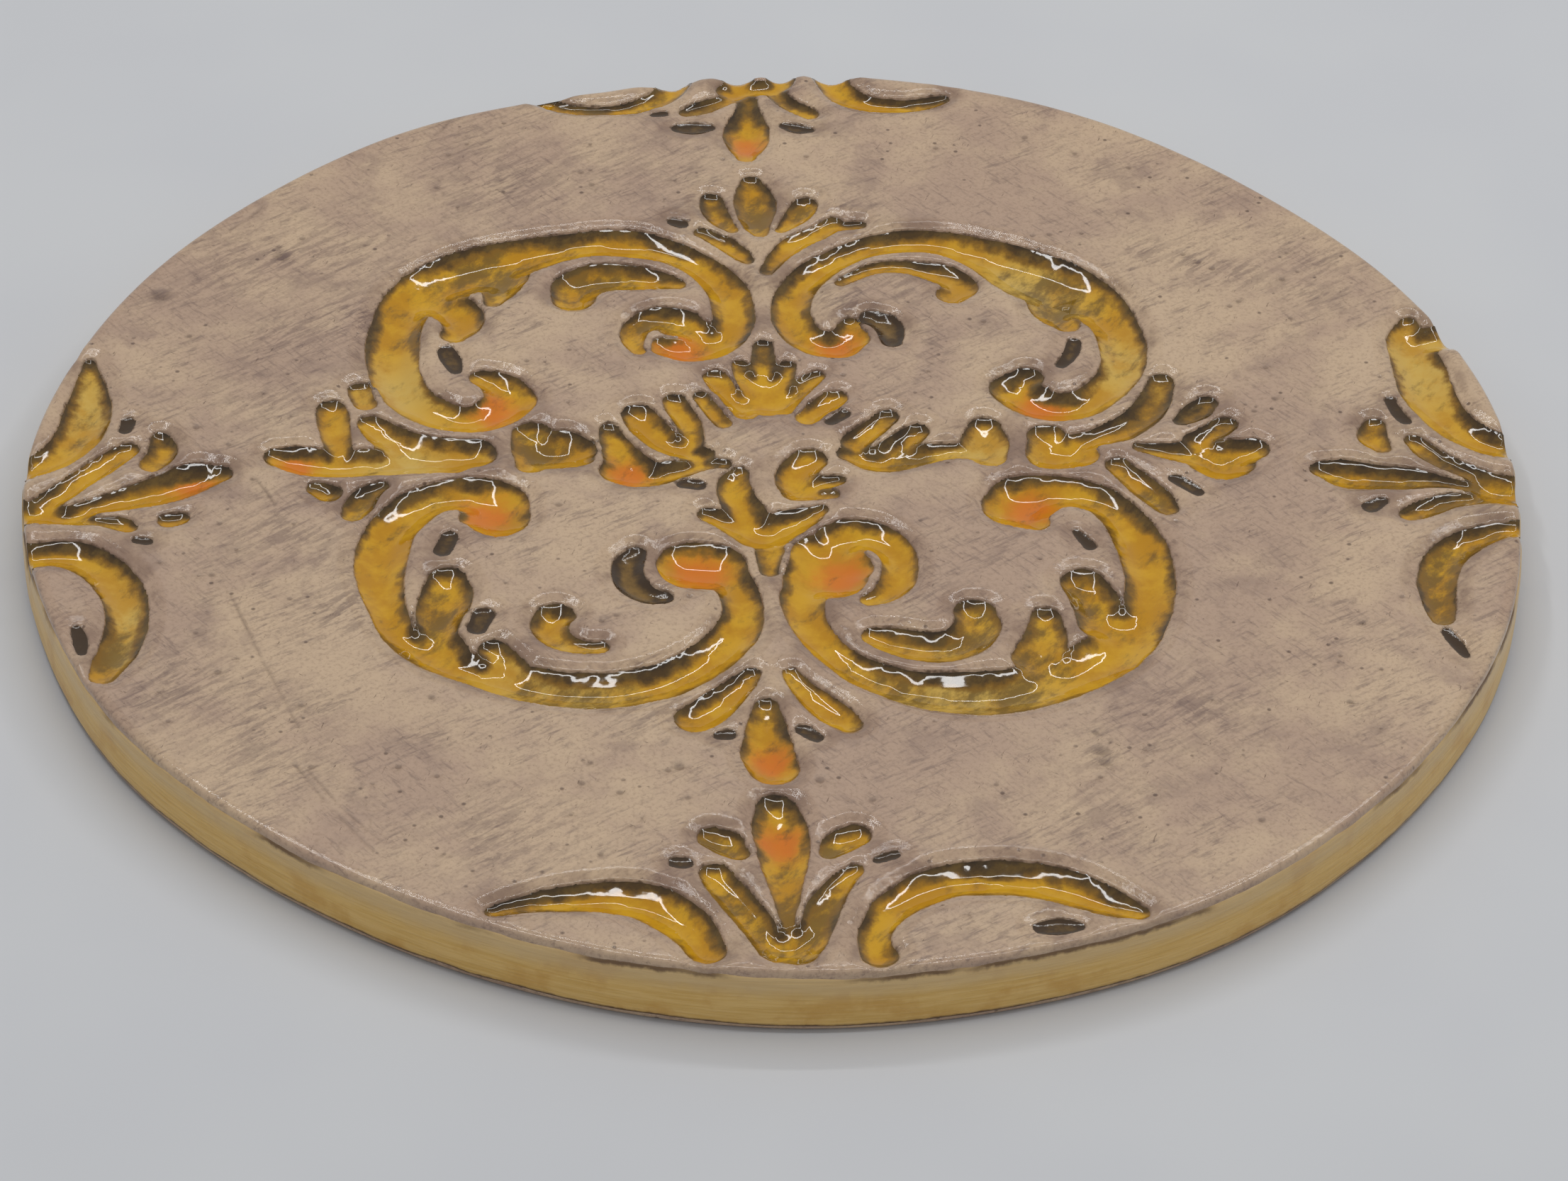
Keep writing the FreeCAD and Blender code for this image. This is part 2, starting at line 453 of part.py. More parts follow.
def add_slip_band(tools):
    """The coat of slip on the disc's side, open where a recess runs out over the rim."""
    outer = Part.Wire(rim_curve(sheet.slip_thickness).toShape())
    inner = Part.Wire(rim_curve(0).toShape())
    ring = Part.Face(outer).cut(Part.Face(inner))
    outline = add_outline("slip_outline", ring, "sizes.foot_round")
    band = add_prism("slip_ring", outline, "sizes.disc_thickness - sizes.foot_round - sizes.edge_round")
    cut = doc.addObject("Part::Cut", "rim_slip_band")
    cut.Base = band
    cut.Tool = tools
    return cut


def add_pools():
    """The glaze solids and the recesses that hold them."""
    disc = Part.Face(Part.Wire(rim_curve(0).toShape()))
    pools = {}
    for group in (rosette_pools, north_west_pools, north_east_pools, south_west_pools,
                  south_east_pools, palmette_pools, north_rim_pools, south_rim_pools,
                  west_rim_pools, east_rim_pools):
        pools.update(group())
    glazes = []
    recesses = []
    for name, (kind, strokes) in pools.items():
        faces = pool_faces(strokes)
        floor = f"sizes.disc_thickness - sizes.{kind}_depth"
        bowl = add_outline(f"{name}_bowl", faces, floor)
        recesses.append(add_prism(f"{name}_recess", bowl, f"sizes.{kind}_depth + 1"))
        filled = add_outline(f"{name}_outline", faces.common(disc), floor)
        glazes.append(add_prism(name, filled, f"sizes.{kind}_glaze"))
    return glazes, recesses


def check(things):
    """Stops unless every object has recomputed and every sub-part is a good solid."""
    for thing in doc.Objects:
        if "Invalid" in thing.State or "Error" in thing.State:
            raise RuntimeError(f"{thing.Label} failed: {thing.State}")
    for thing in things:
        shape = thing.Shape
        if shape.isNull() or not shape.isValid() or not shape.Solids:
            raise RuntimeError(f"{thing.Label} is not a valid solid")


sheet = add_sizes()
scale = sheet.disc_width / NOMINAL_WIDTH
middle = rim_curve(0).toShape().BoundBox.Center
blank = add_blank()
glazes, recesses = add_pools()
tools = doc.addObject("Part::Compound", "recess_tools")
tools.Links = recesses
slab = doc.addObject("Part::Cut", "clay_slab")
slab.Base = blank
slab.Tool = tools
band = add_slip_band(tools)
doc.recompute()

parts = [slab, band] + glazes
check(parts)
os.makedirs("parts", exist_ok=True)
for part in parts:
    part.Shape.exportStep(f"parts/{part.Label}.step")
box = slab.Shape.BoundBox
print(f"{len(parts)} sub-parts, slab {box.XLength:.2f} x {box.YLength:.2f} x {box.ZLength:.2f} mm,"
      f" middle moved by {-middle.x:.2f}, {-middle.y:.2f}")
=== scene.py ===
"""The looks of a round glazed trivet: clay with a damask ornament pressed into it, a pool of
coloured glaze in every recess, and ochre slip brushed round the side.

Lengths in this script are millimetres until a mesh is made. Places are in the part's own frame.
"""
import math

import bpy
import numpy as np
from mathutils import Matrix, Vector
from mathutils.geometry import delaunay_2d_cdt


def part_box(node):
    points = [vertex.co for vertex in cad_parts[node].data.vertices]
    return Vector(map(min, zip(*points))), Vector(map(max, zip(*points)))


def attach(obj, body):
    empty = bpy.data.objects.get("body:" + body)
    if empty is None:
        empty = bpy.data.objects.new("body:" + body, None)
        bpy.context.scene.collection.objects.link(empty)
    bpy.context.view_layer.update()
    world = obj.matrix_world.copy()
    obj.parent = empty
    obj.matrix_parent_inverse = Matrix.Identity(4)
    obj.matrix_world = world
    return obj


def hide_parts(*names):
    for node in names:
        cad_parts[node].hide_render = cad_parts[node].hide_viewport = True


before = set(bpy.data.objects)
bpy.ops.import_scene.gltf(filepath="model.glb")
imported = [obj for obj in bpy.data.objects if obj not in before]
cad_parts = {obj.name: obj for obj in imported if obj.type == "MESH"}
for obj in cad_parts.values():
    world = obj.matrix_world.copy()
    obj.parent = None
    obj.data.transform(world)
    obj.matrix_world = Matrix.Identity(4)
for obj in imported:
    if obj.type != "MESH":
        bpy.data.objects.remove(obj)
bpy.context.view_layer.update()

MM = 0.001
STEP = 0.2             # spacing of the grid that the heights are worked out on
REACH = 5.0            # distances from a pool's edge are known this far
EDGE_ROUND = 0.7       # radius of the disc's upper edge
FOOT_ROUND = 0.8       # radius of the disc's lower edge
FACE_SAG = 0.08        # how far the face lies below its highest points
GROWTH = 0.4           # how far a pool's rounded edge spreads past its recess's wall
SHOULDER = 1.6         # width of the rounded shoulder beside a recess
SHOULDER_DROP = 0.36   # how far the shoulder has fallen where the wall starts
SHOULDER_LIP = (0.05, 0.7)    # height and half width of the low lip along the shoulder's outside
RIM_LIP = (0.07, 0.7, 1.5)    # the same for the lip along the rim, and how far in from it that runs
WALL = 0.95            # width that a recess's wall takes up
GLAZE_LAP = 0.12       # how far the glaze laps up under the edge of the clay
GLAZE_BOWL = 1.9       # the glaze's hollow gets most of its depth within this distance
GLAZE_FALL = {"recess": 2.45, "mark": 0.9}   # how far the hollow's middle lies below its edge
LATTICE = (97, 89)     # rows and columns of the random values behind the smooth noise
RIM_COUNT = 1200       # points round the disc
RIM_INSETS = (0, 0.1, 0.3, 0.62, 1.05)   # how far in from the rim the face's rings of points lie
SPECK_COUNT = 110      # small hollows at random places, besides the ones listed below
SPECK_REACH = 86       # no speck is further than this from the middle

# Distances from a pool's edge at which the clay and the glaze have lines of points.
SLAB_LEVELS = (1.9, 1.35, 0.95, 0.65, 0.4, 0.2, 0.03, -0.15, -0.5, -0.9)
GLAZE_LEVELS = (GLAZE_LAP, -0.08, -0.3, -0.58, -0.92, -1.35, -1.9, -2.6, -3.4)

# The slip's section: share of its height from the top down, and how far out from the clay.
BAND_SECTION = [(0.0, -0.12), (0.04, 0.14), (0.14, 0.24), (0.3, 0.27), (0.5, 0.28), (0.7, 0.27),
                (0.86, 0.24), (0.96, 0.14), (1.0, -0.12)]

CAMERA_PLACE = (-30.0, -564.96, 436.19)
CAMERA_AIM = (0.043882, 0.784884, -0.618080)
CAMERA_ROLL = 1.826
CAMERA_LENS = 132.63
CAMERA_SENSOR = 36
STRIP_MIDDLE = (90, 130, 600)    # middle of the rectangle that the lamp strips form
STRIP_SPANS = (640, 440)         # the rectangle's width and depth
STRIP_THICK = 26
STRIP_GLOW = 14                  # watts per square metre and steradian
WALL_GLOW = 0.41                 # strength of the tent's walls

# Long marks in the face: the points they pass through, half width, depth.
CRACKS = [
    ([(-65.8, -22.5), (-61.5, -35), (-55.8, -50.5)], 0.22, 0.16),
    ([(-57, -54.5), (-53.4, -61), (-47.8, -69.5)], 0.24, 0.16),
    ([(-55.6, -55.4), (-51.6, -62), (-46.9, -68)], 0.18, 0.12),
    ([(-63.8, 0.5), (-62.2, -2.4), (-60.8, -5.6)], 0.2, 0.14),
    ([(-40.8, 78.4), (-41.6, 76.4), (-42.8, 75), (-44, 76)], 0.26, 0.22),
    ([(-64.8, 58.4), (-66.4, 56), (-68.8, 53.4)], 0.22, 0.2),
]
# A round mark pressed into the face: its middle, radius, half width of its line, depth.
RING_MARK = (69.2, 16.5, 1.9, 0.2, 0.08)
# Small hollows in the face: place, radius, depth.
PITS = [(-76.9, 38.9, 1.3, 0.28), (-61.8, 47.4, 1.1, 0.12), (36.1, -52.5, 1.0, 0.2),
        (36.3, -54.6, 0.8, 0.16), (-12.9, -55, 0.7, 0.3), (3.2, -57.5, 0.6, 0.28),
        (56.4, 46.2, 0.5, 0.2), (58.1, 44.8, 0.5, 0.2), (54.6, 47.9, 0.4, 0.18)]
# Stained places on the clay: place, radius, strength.
STAINS = [(-61.8, 47.4, 3.4, 0.7), (-76.9, 38.9, 2.2, 0.5), (36.1, -53.4, 2.4, 0.6),
          (50, 49, 3, 0.45), (56, 46.4, 3.4, 0.6), (62, 43.6, 4, 0.45), (70, 39.5, 4.4, 0.4),
          (11, 37, 4.6, 0.6), (18, 40, 4, 0.5), (84, 14, 3, 0.6), (4, 86, 3, 0.6),
          (88, -6, 3, 0.5), (-53, 34, 6, 0.6), (-60, 30, 6, 0.45), (-55, 48, 9, 0.4),
          (-67, 44, 9, 0.4), (-33, 65, 11, 0.4), (-12, 68, 9, 0.3), (-59, -10, 9, 0.45),
          (-52, -26, 6, 0.55), (-71, -40, 8, 0.45), (-61, -49, 9, 0.4), (-62, 16, 8, 0.35),
          (47, -45, 8, 0.4), (35, -64, 7, 0.3), (71, 48, 6, 0.4), (-16, -44, 5, 0.45),
          (-33, -66, 9, 0.35), (-2, 8, 4, 0.5), (63, 5, 5, 0.25), (12, 57, 5, 0.4),
          (18, -24, 5, 0.4), (-20, 40, 5, 0.35), (-8, 31, 4, 0.5), (3.5, 34, 3, 0.5)]
# Where the glaze burned orange: place, radius.
WARM_SPOTS = [(-1.2, 74.5, 2.8), (-2.3, -52.5, 3), (-1.8, -67, 3.6), (-70.8, 0.5, 3.4),
              (-58.8, 4.5, 2.8), (-17.8, 2.6, 3.2), (-10.8, 28.5, 3.6), (-34.6, 16, 3.8),
              (9, 29.6, 3.4), (33.8, 16.4, 3.6), (-35.6, -5.2, 3.8), (-9.6, -16.6, 4.2),
              (31.4, -4.4, 3.8), (7.6, -17.4, 3.8)]
# Where brown stain has spread over the glaze: place, radius.
MUDDY_SPOTS = [(-1.4, -82, 8), (-9, -78, 4), (3.6, -78, 4), (-8.4, -68, 3.2), (4.6, -69.6, 3),
               (-36, 46, 8), (25, -41, 8), (13, -40, 5), (-24, -40, 7), (37, 41, 7),
               (-79, -33, 6), (-29, 8.5, 4), (18, 6, 4), (46, -3, 4), (-0.5, 58, 5), (-8, 59, 3),
               (5, 59, 3), (-9, 83, 6), (79, -20, 11), (84, -2, 7), (76, 0, 5), (-41.5, -25, 4),
               (36.5, -24, 4.5), (24, -31, 7), (-44, 31, 3), (-22, 43, 5), (-15, 33.5, 3.5),
               (45.5, 14, 3), (-53, -4, 4)]
# Where the glaze ran thin and pale: place, radius.
PALE_SPOTS = [(84, 24, 9), (-84, 16, 8), (-78, -28, 9), (33, 42, 8), (21, -40, 9), (-27, -40, 8),
              (-46, 20, 6), (45, 25, 7), (25, 8, 5), (-45, 5, 6)]


# ---------------------------------------------------------------- reading the frame

def mesh_arrays(node):
    """The vertices of a CAD node and the corners of its triangles."""
    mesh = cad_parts[node].data
    points = np.empty(len(mesh.vertices) * 3)
    mesh.vertices.foreach_get("co", points)
    mesh.calc_loop_triangles()
    corners = np.empty(len(mesh.loop_triangles) * 3, dtype=int)
    mesh.loop_triangles.foreach_get("vertices", corners)
    return points.reshape(-1, 3) / MM, corners.reshape(-1, 3)


def border_edges(corners):
    """The edges that only one triangle uses, each in that triangle's direction."""
    edges = np.concatenate([corners[:, [0, 1]], corners[:, [1, 2]], corners[:, [2, 0]]])
    ordered = np.sort(edges, axis=1)
    _, first, uses = np.unique(ordered, axis=0, return_index=True, return_counts=True)
    return edges[first[uses == 1]]


def outline_of(node):
    """The pieces of line round the flat top of a glaze node, as pairs of points."""
    points, corners = mesh_arrays(node)
    level = points[:, 2].max()
    flat = corners[(points[corners][:, :, 2] > level - 0.001).all(axis=1)]
    places, welded = np.unique(np.round(points[:, :2], 3), axis=0, return_inverse=True)
    return places[border_edges(welded.ravel()[flat])]


def rim_profile():
    """The disc's radius by angle, read where its side meets the round of its foot."""
    points, _ = mesh_arrays("clay_slab")
    ring = points[np.abs(points[:, 2] - FOOT_ROUND) < 0.01]
    angles = np.arctan2(ring[:, 1], ring[:, 0])
    order = np.argsort(angles)
    return angles[order], np.hypot(ring[order, 0], ring[order, 1])


def rim_radius(x, y):
    """The disc's radius in the directions of some points."""
    return np.interp(np.arctan2(y, x), *RIM, period=2 * math.pi)


# ---------------------------------------------------------------- fields on a grid

def smooth(amount):
    """A smooth step from 0 to 1."""
    amount = np.clip(amount, 0, 1)
    return amount * amount * (3 - 2 * amount)


def wander(x, y, size, seed):
    """Smooth noise from -1 to 1, with bumps about size across."""
    lattice = np.random.default_rng(seed).uniform(-1, 1, LATTICE)
    u, v = x / size + 200, y / size + 200
    column, row = np.floor(u).astype(int), np.floor(v).astype(int)
    right, up = smooth(u - column), smooth(v - row)
    total = 0
    for row_step, row_share in ((0, 1 - up), (1, up)):
        for column_step, column_share in ((0, 1 - right), (1, right)):
            knot = lattice[(row + row_step) % LATTICE[0], (column + column_step) % LATTICE[1]]
            total = total + knot * row_share * column_share
    return total


def blur(field, width):
    """A field smoothed with a bell of that width."""
    count = int(3 * width / STEP + 0.5)
    weights = np.exp(-0.5 * (np.arange(-count, count + 1) * STEP / width) ** 2)
    weights /= weights.sum()
    for axis in (0, 1):
        padding = [(count, count) if axis == other else (0, 0) for other in (0, 1)]
        padded = np.pad(field, padding, mode="edge")
        size = field.shape[axis]
        field = sum(weight * padded.take(range(shift, shift + size), axis=axis)
                    for shift, weight in enumerate(weights))
    return field


def highest(field, reach):
    """The highest value of a field within a square round each point."""
    count = round(reach / STEP)
    for axis in (0, 1):
        field = np.max([np.roll(field, shift, axis) for shift in range(-count, count + 1)], axis=0)
    return field


def sample(field, x, y):
    """A field's value at any places, from the four grid points round each."""
    u = np.clip((x - XS[0]) / STEP, 0, len(XS) - 1.001)
    v = np.clip((y - YS[0]) / STEP, 0, len(YS) - 1.001)
    column, row = u.astype(int), v.astype(int)
    right, up = u - column, v - row
    below = field[row, column] * (1 - right) + field[row, column + 1] * right
    above = field[row + 1, column] * (1 - right) + field[row + 1, column + 1] * right
    return below * (1 - up) + above * up


def window(low, high, margin):
    """The grid's rows and columns round a box."""
    column = np.searchsorted(XS, [low[0] - margin, high[0] + margin])
    row = np.searchsorted(YS, [low[1] - margin, high[1] + margin])
    return slice(row[0], row[1]), slice(column[0], column[1])


def fill(outline, rows, columns):
    """Which grid points of a window lie inside a closed outline."""
    crossings = np.zeros((rows.stop - rows.start, columns.stop - columns.start + 1), dtype=int)
    for (x0, y0), (x1, y1) in outline:
        first, last = np.searchsorted(YS[rows], sorted((y0, y1)))
        for row in range(first, last):
            x = x0 + (x1 - x0) * (YS[rows.start + row] - y0) / (y1 - y0)
            crossings[row, np.searchsorted(XS[columns], x)] += 1
    return crossings.cumsum(axis=1)[:, :-1] % 2 == 1


def draw_pools():
    """Distance from the pools' edges, negative inside, and the pool that each point is nearest.

    Where a pool runs out over the rim it has no edge, and it goes on outside the disc.
    """
    distance = np.full((len(YS), len(XS)), REACH)
    nearest = np.zeros(distance.shape, dtype=int)
    inside = np.zeros(distance.shape, dtype=bool)
    for number, pool in enumerate(POOLS):
        outline = outline_of(pool)
        rows, columns = window(outline.min(axis=(0, 1)), outline.max(axis=(0, 1)), 1)
        inside[rows, columns] |= fill(outline, rows, columns)
        ends = outline.reshape(-1, 2)
        on_rim = np.hypot(*ends.T) > rim_radius(*ends.T) - 0.08
        for start, end in outline[~on_rim.reshape(-1, 2).all(axis=1)]:
            rows, columns = window(np.minimum(start, end), np.maximum(start, end), REACH)
            run = end - start
            x, y = XS[columns] - start[0], YS[rows, None] - start[1]
            along = np.clip((x * run[0] + y * run[1]) / (run @ run + 1e-12), 0, 1)
            gap = np.hypot(x - along * run[0], y - along * run[1])
            closer = gap < distance[rows, columns]
            distance[rows, columns][closer] = gap[closer]
            nearest[rows, columns][closer] = number
    x, y = np.meshgrid(XS, YS)
    shrink = np.minimum(1, (rim_radius(x, y) - 0.4) / np.maximum(np.hypot(x, y), 1))
    column = np.searchsorted(XS, x * shrink)
    row = np.searchsorted(YS, y * shrink)
    inside = inside[row, column]
    return np.where(inside, -distance, distance), nearest


def soften(distance):
    """The pools' edges as they came out: spread a little where there is room, soft and uneven."""
    x, y = np.meshgrid(XS, YS)
    room = np.clip((highest(distance, 1.0) - 0.2) / 0.6, 0, 1)
    spread = np.where(IS_DEEP[NEAREST], GROWTH, GROWTH / 3)
    return blur(distance - spread * room, 0.22) + (0.1 * wander(x, y, 2.6, 1) + 0.05 * wander(x, y, 1.1, 2))


def scatter_specks():
    """Small hollows at random places on the face, away from the pools: place, radius, depth."""
    chances = np.random.default_rng(11)
    specks = []
    while len(specks) < SPECK_COUNT:
        x, y = chances.uniform(-SPECK_REACH, SPECK_REACH, 2)
        if math.hypot(x, y) < SPECK_REACH and sample(DISTANCE, np.array(x), np.array(y)) > 1.6:
            specks.append((x, y, chances.uniform(0.2, 0.5), chances.uniform(0.05, 0.2)))
    return specks


def contour(field, level, spacing):
    """Points on a level line of a field, about spacing apart."""
    found = []
    for axis in (0, 1):
        before = field[:-1] if axis == 0 else field[:, :-1]
        after = field[1:] if axis == 0 else field[:, 1:]
        row, column = np.nonzero((before < level) != (after < level))
        share = (level - before[row, column]) / (after[row, column] - before[row, column])
        x = XS[column] + (share * STEP if axis == 1 else 0)
        y = YS[row] + (share * STEP if axis == 0 else 0)
        found.append(np.column_stack([x, y]))
    return thin(np.concatenate(found), spacing)


def thin(points, spacing):
    """One point for each square of that spacing: the one nearest its middle."""
    squares = np.round(points / spacing)
    order = np.argsort(np.hypot(*(points - squares * spacing).T), kind="stable")
    _, first = np.unique(squares[order], axis=0, return_index=True)
    return points[order[first]]


def honeycomb(spacing, reach):
    """Evenly spread points over a disc of that radius."""
    rows = np.arange(-reach, reach, spacing * math.sqrt(0.75))
    x = np.arange(-reach, reach, spacing)
    points = [np.column_stack([x + (number % 2) * spacing / 2, np.full(len(x), y)])
              for number, y in enumerate(rows)]
    return np.concatenate(points)


# ---------------------------------------------------------------- heights

def segment_gap(x, y, path):
    """How far points are from a line through a path's points."""
    nearest = np.full(x.shape, 1e9)
    for (x0, y0), (x1, y1) in zip(path, path[1:]):
        run_x, run_y = x1 - x0, y1 - y0
        along = np.clip(((x - x0) * run_x + (y - y0) * run_y) / (run_x ** 2 + run_y ** 2), 0, 1)
        nearest = np.minimum(nearest, np.hypot(x - x0 - along * run_x, y - y0 - along * run_y))
    return nearest


def wear(x, y):
    """Depth of the scratches and pits at some places, and how dark the dirt in them is."""
    depth = np.zeros(x.shape)
    dirt = np.zeros(x.shape)
    faint = 0.55 + 0.45 * wander(x, y, 2.2, 31)
    for path, half_width, deep in CRACKS:
        shape = faint * np.exp(-(segment_gap(x, y, path) / half_width) ** 2)
        depth += deep * shape
        dirt = np.maximum(dirt, 0.7 * shape)
    ring_x, ring_y, radius, half_width, deep = RING_MARK
    ring_gap = np.abs(np.hypot(x - ring_x, y - ring_y) - radius)
    shape = faint * np.exp(-(ring_gap / half_width) ** 2)
    depth += deep * shape
    dirt = np.maximum(dirt, 0.6 * shape)
    for pit_x, pit_y, radius, deep in PITS + SPECKS:
        shape = np.exp(-(np.hypot(x - pit_x, y - pit_y) / radius) ** 4)
        depth += deep * shape
        dirt = np.maximum(dirt, shape * 0.8)
    return depth, dirt


def edge_fall(gap):
    """How far the round of the upper edge has fallen at a distance from the rim."""
    inward = np.clip(EDGE_ROUND - gap, 0, EDGE_ROUND)
    return EDGE_ROUND - np.sqrt(EDGE_ROUND ** 2 - inward ** 2)


def clay_field():
    """Height of the clay, from the face through the shoulders to the floors of the recesses."""
    x, y = np.meshgrid(XS, YS)
    face = FACE - FACE_SAG + 0.07 * wander(x, y, 17, 3) + 0.03 * wander(x, y, 5, 4)
    width = SHOULDER * (1 + 0.3 * wander(x, y, 9, 5))
    shoulder = SHOULDER_DROP * DEEP * (1 - smooth(DISTANCE / width + 0.02)) ** 1.4
    height, half_width = SHOULDER_LIP
    lip = height * np.exp(-((DISTANCE - width) / half_width) ** 2)
    height, half_width, inset = RIM_LIP
    gap = rim_radius(x, y) - np.hypot(x, y)
    lip += height * np.exp(-((gap - inset) / half_width) ** 2)
    wall = (FACE - SHOULDER_DROP * DEEP - FLOOR) * smooth(-DISTANCE / WALL)
    return face - shoulder + lip * (DISTANCE > 0) - wall


def glaze_field():
    """Height of the glaze: it starts at the edge of its pool and hollows towards the middle."""
    inward = np.clip(-DISTANCE, -GLAZE_LAP, None)
    x, y = np.meshgrid(XS, YS)
    bowl = 1 - np.exp(-np.clip(inward, 0, None) / GLAZE_BOWL)
    start = blur(CLAY * (DISTANCE > -0.3) + (FACE - SHOULDER_DROP) * (DISTANCE <= -0.3), 0.2)
    waves = 0.06 * wander(x, y, 3.6, 8)
    surface = start - 0.02 - FALL * bowl + waves - np.clip(-inward, 0, None) * 0.9
    rounded = smooth((inward - 0.2) / 1.2)
    surface = blur(surface, 0.24) * (1 - rounded) + blur(surface, 0.7) * rounded
    return np.maximum(surface, FLOOR + 0.15)


# ---------------------------------------------------------------- meshes

def triangulate(points, ring=0):
    """Triangles over some flat points. The first ones may be a ring that bounds them."""
    edges = [(number, (number + 1) % ring) for number in range(ring)]
    flat = [Vector(point) for point in points]
    places, _, faces, _, _, _ = delaunay_2d_cdt(flat, edges, [], 1 if ring else 0, 1e-7)
    return np.array([place[:] for place in places]), np.array(faces)


def add_piece(name, points, faces, material, measures, nodes):
    """A mesh object in metres, with a number or more per point for its material to read."""
    mesh = bpy.data.meshes.new(name)
    mesh.from_pydata((points * MM).tolist(), [], faces.tolist())
    for label, values in measures.items():
        attribute = mesh.attributes.new(label, "FLOAT", "POINT")
        attribute.data.foreach_set("value", np.asarray(values, dtype=np.float32))
    mesh.shade_smooth()
    mesh.materials.append(material)
    piece = bpy.data.objects.new(name, mesh)
    bpy.context.scene.collection.objects.link(piece)
    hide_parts(*nodes)
    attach(piece, "root")
    return piece


def rim_ring(inset, count):
    """Points round the disc, in order, at a distance inside its outline."""
    angles = np.arange(count) * 2 * math.pi / count
    x, y = np.cos(angles), np.sin(angles)
    radius = rim_radius(x, y) - inset
    return np.column_stack([x * radius, y * radius])


def bridge(upper, lower):
    """Triangles between two rings of vertex numbers, facing outwards, the second below."""
    next_upper, next_lower = np.roll(upper, -1), np.roll(lower, -1)
    return np.concatenate([np.column_stack([upper, lower, next_lower]),
                           np.column_stack([upper, next_lower, next_upper])])


def slab_points():
    """Where the clay's upper surface has points: close together on shoulders and in marks."""
    spread = [contour(DISTANCE, level, 0.47) for level in SLAB_LEVELS]
    open_clay = honeycomb(1.15, 95)
    spread.append(open_clay[sample(DISTANCE, *open_clay.T) > SLAB_LEVELS[0] + 0.3])
    floors = honeycomb(1.6, 95)
    spread.append(floors[sample(DISTANCE, *floors.T) < SLAB_LEVELS[-1] - 0.5])
    for path, half_width, _ in CRACKS:
        for start, end in zip(path, path[1:]):
            start, end = np.array(start), np.array(end)
            run = end - start
            across = np.array([-run[1], run[0]]) / np.hypot(*run)
            shares = np.arange(0, 1, 0.35 / np.hypot(*run))[:, None]
            for offset in (-2, -1, 0, 1, 2):
                spread.append(start + run * shares + across * offset * half_width * 0.9)
    turns = np.arange(8) * math.pi / 4
    circle = np.column_stack([np.cos(turns), np.sin(turns)])
    for x, y, radius, _ in PITS + SPECKS:
        rings = [circle * radius * 0.75 + (x, y), circle * radius * 1.15 + (x, y)]
        spread.extend([np.array([[x, y]])] + rings)
    points = thin(np.concatenate(spread), 0.16)
    rings = np.concatenate([rim_ring(inset, RIM_COUNT) for inset in RIM_INSETS])
    gap = rim_radius(*points.T) - np.hypot(*points.T)
    return np.concatenate([rings, points[gap > 1.25]])


def add_slab():
    """The clay: its face with the recesses, its side, its foot and its underside."""
    flat, faces = triangulate(slab_points(), RIM_COUNT)
    x, y = flat.T
    depth, dirt = wear(x, y)
    distance = sample(DISTANCE, x, y)
    clay = np.clip(distance, 0, 1)
    gap = rim_radius(x, y) - np.hypot(x, y)
    z = sample(CLAY, x, y) - depth * clay - edge_fall(gap)
    top = np.column_stack([x, y, z])
    rings = []
    for share in (0.25, 0.5, 0.75, 1.0):
        height = z[:RIM_COUNT] * (1 - share) + FOOT_ROUND * share
        rings.append(np.column_stack([rim_ring(0, RIM_COUNT), height]))
    for turn in (20, 45, 70, 90):
        inset = FOOT_ROUND * (1 - math.cos(math.radians(turn)))
        height = FOOT_ROUND * (1 - math.sin(math.radians(turn)))
        rings.append(np.column_stack([rim_ring(inset, RIM_COUNT), np.full(RIM_COUNT, height)]))
    middle = honeycomb(3.0, 95)
    middle = middle[rim_radius(*middle.T) - np.hypot(*middle.T) > 4]
    under, under_faces = triangulate(np.concatenate([rings[-1][:, :2], middle]), RIM_COUNT)
    rings[-1] = np.column_stack([under, np.zeros(len(under))])
    points = np.concatenate([top] + rings)
    start = len(top)
    upper = np.arange(RIM_COUNT)
    all_faces = [faces]
    for number in range(len(rings)):
        lower = start + np.arange(RIM_COUNT)
        all_faces.append(bridge(upper, lower))
        upper = lower
        start += RIM_COUNT
    all_faces.append(under_faces[:, ::-1] + start - RIM_COUNT)
    rest = len(points) - len(top)
    stain = np.zeros(len(top))
    for stain_x, stain_y, radius, strength in STAINS:
        spot = strength * np.exp(-(np.hypot(x - stain_x, y - stain_y) / radius) ** 2)
        stain = np.maximum(stain, spot)
    measures = {"edge": np.concatenate([distance, np.full(rest, REACH)]),
                "bare": np.concatenate([np.minimum(distance, gap + 0.5), np.full(rest, REACH)]),
                "dirt": np.concatenate([dirt * clay, np.zeros(rest)]),
                "stain": np.concatenate([stain, np.zeros(rest)])}
    return add_piece("pressed_clay", points, np.concatenate(all_faces), clay_material(), measures,
                     ["clay_slab"])


def spots(x, y, places):
    """How near some points are to the nearest of a list of round places: 1 at its middle."""
    share = np.zeros(x.shape)
    for spot_x, spot_y, radius in places:
        share = np.maximum(share, np.exp(-(np.hypot(x - spot_x, y - spot_y) / radius) ** 2))
    return share


